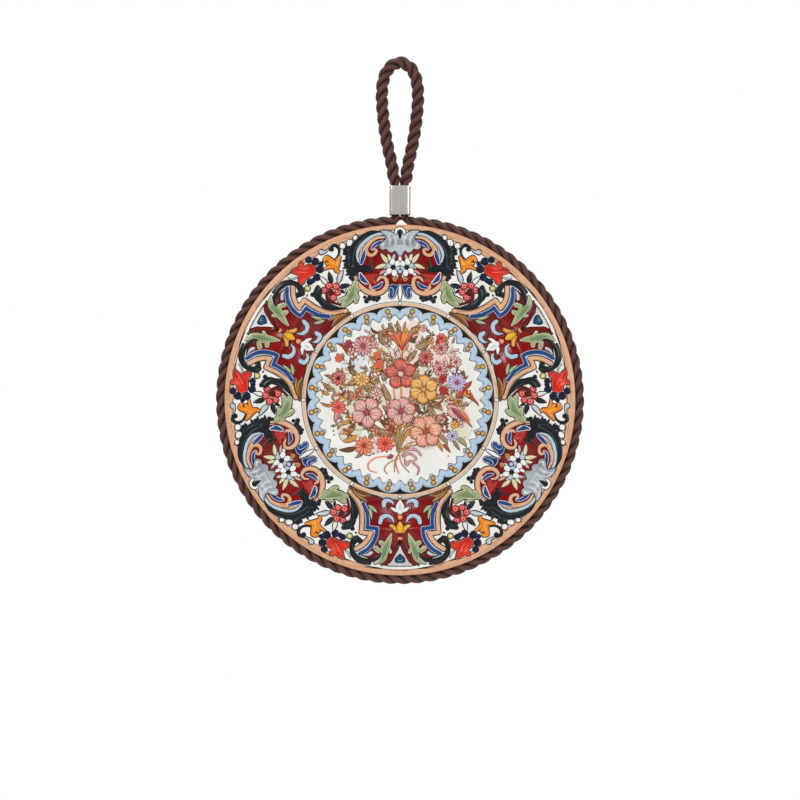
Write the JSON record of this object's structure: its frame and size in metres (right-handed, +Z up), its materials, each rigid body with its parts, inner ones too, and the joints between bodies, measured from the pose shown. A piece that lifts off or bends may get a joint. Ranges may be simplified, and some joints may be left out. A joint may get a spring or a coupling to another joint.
{
  "type": "ceramic wall plate",
  "caption": "Round glazed ceramic plate bound with twisted rope, hanging from a rope loop pinched by a metal ferrule; also a pot stand.",
  "frame": {"origin": "the hook's contact point, at the top of the rope loop's opening, in the middle of the rope's thickness", "axes": "+Z up along the hanging plate, -Y out of the painted face, +Y out of the cork back, +X to the right of someone who faces the painted side"},
  "size_m": [0.17, 0.0104, 0.2437],
  "materials": {
    "biscuit": "matte",
    "glaze": "gloss",
    "adhesive": "matte",
    "cork": "matte",
    "rope": "matte",
    "ferrule_metal": "satin"
  },
  "bodies": {
    "hanger": {"ferrule": "ferrule_metal", "pinched_legs": "rope", "hanging_loop": "rope"},
    "plate": {"ceramic_disc": "biscuit", "face_glaze": "glaze", "pad_adhesive": "adhesive", "cork_pad": "cork", "rim_rope": "rope"}
  },
  "joints": [
    {"name": "plate_swing", "type": "hinge", "parent": "hanger", "child": "plate", "pos_m": [0, 0, -0.0707], "axis": [1, 0, 0], "range_deg": [-60, 60]}
  ]
}
